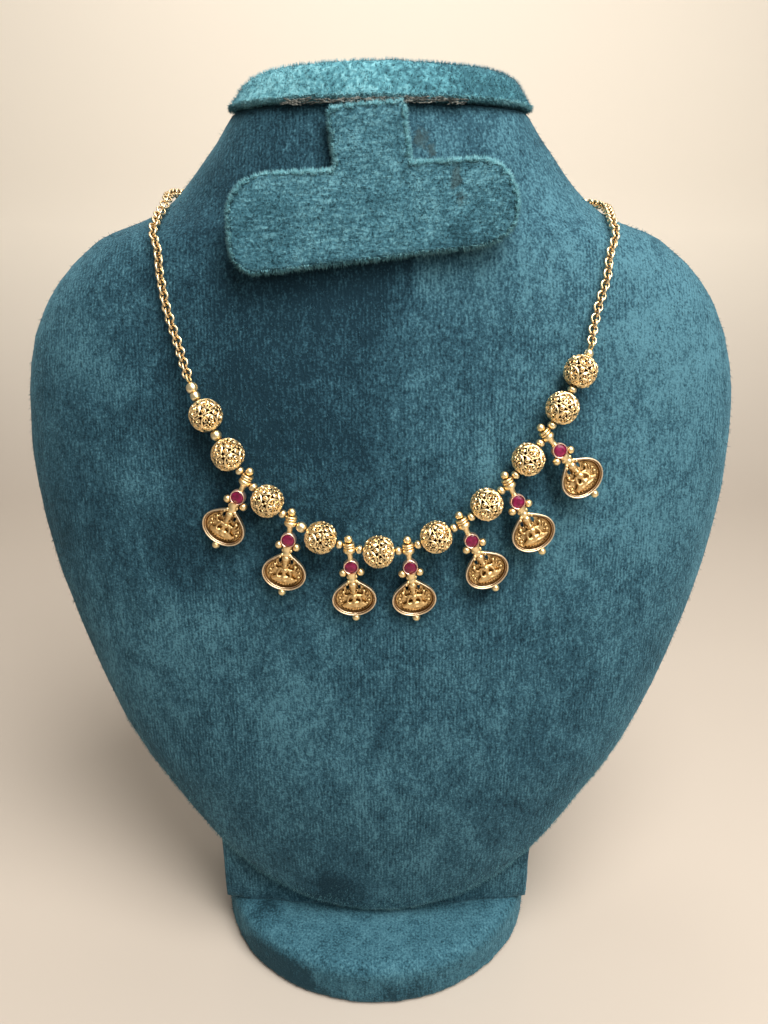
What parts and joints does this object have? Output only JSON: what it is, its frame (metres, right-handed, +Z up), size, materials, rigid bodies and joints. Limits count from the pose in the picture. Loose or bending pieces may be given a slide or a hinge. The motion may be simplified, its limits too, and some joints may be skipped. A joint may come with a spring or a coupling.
{
  "type": "temple jewellery necklace on a neck bust",
  "caption": "Gold necklace of openwork balls and medallion drops on round-link chain, around a velvet-covered neck bust on a flat foot.",
  "frame": {"origin": "on the foot's underside, under the middle of the shoulders' widest line", "axes": "+Z up, -Y out of the chest, +X to the right as one looks at the chest"},
  "size_m": [0.195, 0.097, 0.2461],
  "materials": {
    "velvet": "velvet pile",
    "velvet_cap": "velvet pile",
    "velvet_bar": "velvet pile",
    "gold": "gold plated, worn bright",
    "chain_gold": "gold plated",
    "gold_thread": "satin",
    "ruby": "polished"
  },
  "bodies": {
    "root": {"foot": "velvet", "riser": "velvet", "bust_body": "velvet", "neck_cap": "velvet_cap", "earring_bar": "velvet_bar", "filigree_bead_1": "gold", "filigree_bead_2": "gold", "filigree_bead_3": "gold", "filigree_bead_4": "gold", "filigree_bead_5": "gold", "filigree_bead_6": "gold", "filigree_bead_7": "gold", "filigree_bead_8": "gold", "filigree_bead_9": "gold", "filigree_bead_10": "gold", "drop_1": "gold", "drop_2": "gold", "drop_3": "gold", "drop_4": "gold", "drop_5": "gold", "drop_6": "gold", "drop_7": "gold", "ruby_1": "ruby", "ruby_2": "ruby", "ruby_3": "ruby", "ruby_4": "ruby", "ruby_5": "ruby", "ruby_6": "ruby", "ruby_7": "ruby", "spacer_beads": "gold", "thread": "gold_thread", "chain_left": "chain_gold", "chain_right": "chain_gold", "clasp": "chain_gold"}
  },
  "joints": []
}
